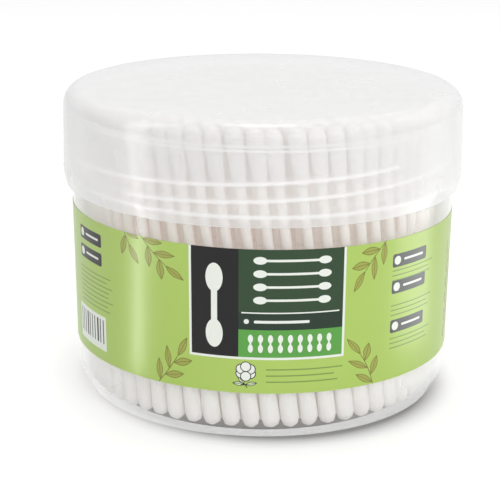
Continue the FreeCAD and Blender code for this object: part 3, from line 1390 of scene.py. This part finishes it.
@dataclass(frozen=True)
class Softbox:
    """Soft lamp at a bearing from the front, aimed at the tub."""

    name: str
    bearing_deg: float
    distance: float
    height: float
    width: float
    length: float
    power: float
    gloss_only: bool = False

    def hang(self, target: Vector) -> None:
        """Put the lamp up.

        Args:
            target: What it is aimed at.
        """
        bearing = math.radians(self.bearing_deg)
        data = bpy.data.lights.new(self.name, "AREA")
        data.shape = "RECTANGLE"
        data.size = self.width
        data.size_y = self.length
        data.energy = self.power
        lamp = bpy.data.objects.new(self.name, data)
        lamp.location = (self.distance * math.sin(bearing), -self.distance * math.cos(bearing), self.height)
        lamp.rotation_euler = (lamp.location - target).to_track_quat("Z", "Y").to_euler()
        lamp.visible_camera = False
        lamp.visible_diffuse = not self.gloss_only
        bpy.context.collection.objects.link(lamp)


@dataclass(frozen=True)
class Studio:
    """Plain pale studio: white floor, white surroundings and soft lamps.

    The floor has a painted shadow in a narrow ring round the foot: there its colour
    is darker and its lift fades. The ring's middle lies a little to the front right.
    """

    target: tuple[float, float, float] = (0.0, 0.0, 0.04)
    floor_size: float = 8.0
    surround: float = 0.62
    floor_colour: float = 0.80
    floor_lift: float = 0.34
    shadow_centre: tuple[float, float] = (3 * MM, -6 * MM)
    shadow_start: float = 41 * MM
    shadow_width: float = 9 * MM
    contact_shade: float = 0.5

    def lamps(self) -> list[Softbox]:
        """The lamps."""
        # Name, bearing, distance, height, width, length, power, and whether it is for gloss only.
        return [
            Softbox("overhead", 180, 0.10, 1.1, 0.30, 0.30, 3.4),
            Softbox("front fill", 22, 1.3, 0.6, 0.9, 0.9, 6.8),
            Softbox("left strip", -65.8, 0.18, 0.11, 0.03, 0.22, 0.18, True),
            Softbox("left low strip", -55.9, 0.084, 0.018, 0.010, 0.05, 0.014, True),
            Softbox("right strip", 96.5, 0.17, 0.11, 0.06, 0.22, 0.035, True),
            Softbox("right low strip", 78, 0.092, 0.018, 0.045, 0.05, 0.022, True),
        ]

    @staticmethod
    def seen_directly(recipe: Recipe) -> Signal:
        """1 for what the camera sees, straight, mirrored or through plastic."""
        outputs = ("Is Camera Ray", "Is Glossy Ray", "Is Transmission Ray")
        parts = [recipe.add("LightPath", output=name) for name in outputs]
        return parts[0] | parts[1] | parts[2]

    def lay_floor(self) -> None:
        """Make the white floor, which keeps the tub's shadow and has a painted shadow round the foot."""
        Workbench.deselect()
        bpy.ops.mesh.primitive_plane_add(size=self.floor_size)
        floor = bpy.context.object
        floor.name = "floor"
        recipe = Recipe("white floor")
        across, along, _ = recipe.axes()
        across = across - self.shadow_centre[0]
        along = along - self.shadow_centre[1]
        away = (across * across + along * along) ** 0.5
        # Painted shadow: darker floor colour and less lift in a ring round the foot.
        painted_shadow = (1 - (away - self.shadow_start).at_least(0) / self.shadow_width).at_least(0)
        lift = self.seen_directly(recipe) * self.floor_lift * (1 - painted_shadow * painted_shadow)
        pale = (self.floor_colour,) * 3
        dark = (self.floor_colour * self.contact_shade,) * 3
        painted_glow = recipe.mixed(lift, (0, 0, 0), (1, 1, 1))
        Workbench.dress(floor, recipe.finish(
            Base_Color=recipe.mixed(painted_shadow * painted_shadow, pale, dark),
            Roughness=1.0,
            Specular_IOR_Level=0.0,
            Emission_Color=painted_glow,
            Emission_Strength=1.0,
        ))

    def light(self) -> None:
        """Set the surroundings and the lamps."""
        world = bpy.data.worlds.new("pale studio")
        world.use_nodes = True
        bpy.context.scene.world = world
        tree = world.node_tree
        tree.nodes.clear()
        path = tree.nodes.new("ShaderNodeLightPath")
        mix = tree.nodes.new("ShaderNodeMixShader")
        for number, strength in enumerate((self.surround, 1.0), start=1):
            shade = tree.nodes.new("ShaderNodeBackground")
            shade.inputs["Color"].default_value = (1, 1, 1, 1)
            shade.inputs["Strength"].default_value = strength
            tree.links.new(shade.outputs[0], mix.inputs[number])
        output = tree.nodes.new("ShaderNodeOutputWorld")
        tree.links.new(path.outputs["Is Camera Ray"], mix.inputs[0])
        tree.links.new(mix.outputs[0], output.inputs["Surface"])
        for lamp in self.lamps():
            lamp.hang(Vector(self.target))


@dataclass(frozen=True)
class Camera:
    """The photograph's camera, fitted to the round edges of the tub."""

    distance: float = 403.5 * MM
    height: float = 152.9 * MM
    pitch: float = 0.286
    roll: float = 0.009
    lens_mm: float = 112.85
    sensor_mm: float = 36.0
    shift_x: float = -0.0242

    def place(self) -> None:
        """Put the camera up and use it."""
        data = bpy.data.cameras.new("camera")
        data.lens = self.lens_mm
        data.sensor_width = self.sensor_mm
        data.shift_x = self.shift_x
        camera = bpy.data.objects.new("camera", data)
        look = Euler((math.pi / 2 - self.pitch, 0, 0)).to_matrix() @ Matrix.Rotation(self.roll, 3, "Z")
        camera.location = (0, -self.distance, self.height)
        camera.rotation_euler = look.to_euler()
        bpy.context.collection.objects.link(camera)
        bpy.context.scene.camera = camera


def main() -> None:
    """Build the tub, its contents and its studio."""
    logging.basicConfig(level=logging.INFO, format="%(name)s: %(message)s")
    bpy.context.scene.view_settings.view_transform = "Standard"
    bpy.context.scene.cycles.transparent_max_bounces = 32
    bpy.context.scene.cycles.sample_clamp_indirect = 1.5
    clear = ClearPlastic(
        name="clear tub plastic", colour=(0.93, 0.935, 0.93), haze=0.08, slant_haze=0.97, slant_power=1.7,
        inner_share=0.25, roughness=0.12, ripple=0.05 * MM, painted_glow=0.16, edge_haze=0.9, painted_edge_highlight=0.34,
        foot_clearing=0.8)
    frosted = ClearPlastic(
        name="frosted lid plastic", colour=(0.865, 0.865, 0.865), haze=0.36, slant_haze=0.98, slant_power=1.0,
        inner_share=0.12, roughness=0.26, ripple=0.01 * MM, painted_glow=0.08, edge_haze=0.75, painted_edge_highlight=0.22)
    tub = Tub()
    tub.build(clear.material())
    Lid().build(tub, frosted.material())
    SwabBundle(tub).build(CottonWool().material(), RolledPaper().material())
    Label().build(tub)
    studio = Studio()
    studio.lay_floor()
    studio.light()
    Camera().place()


if __name__ == "__main__":
    main()
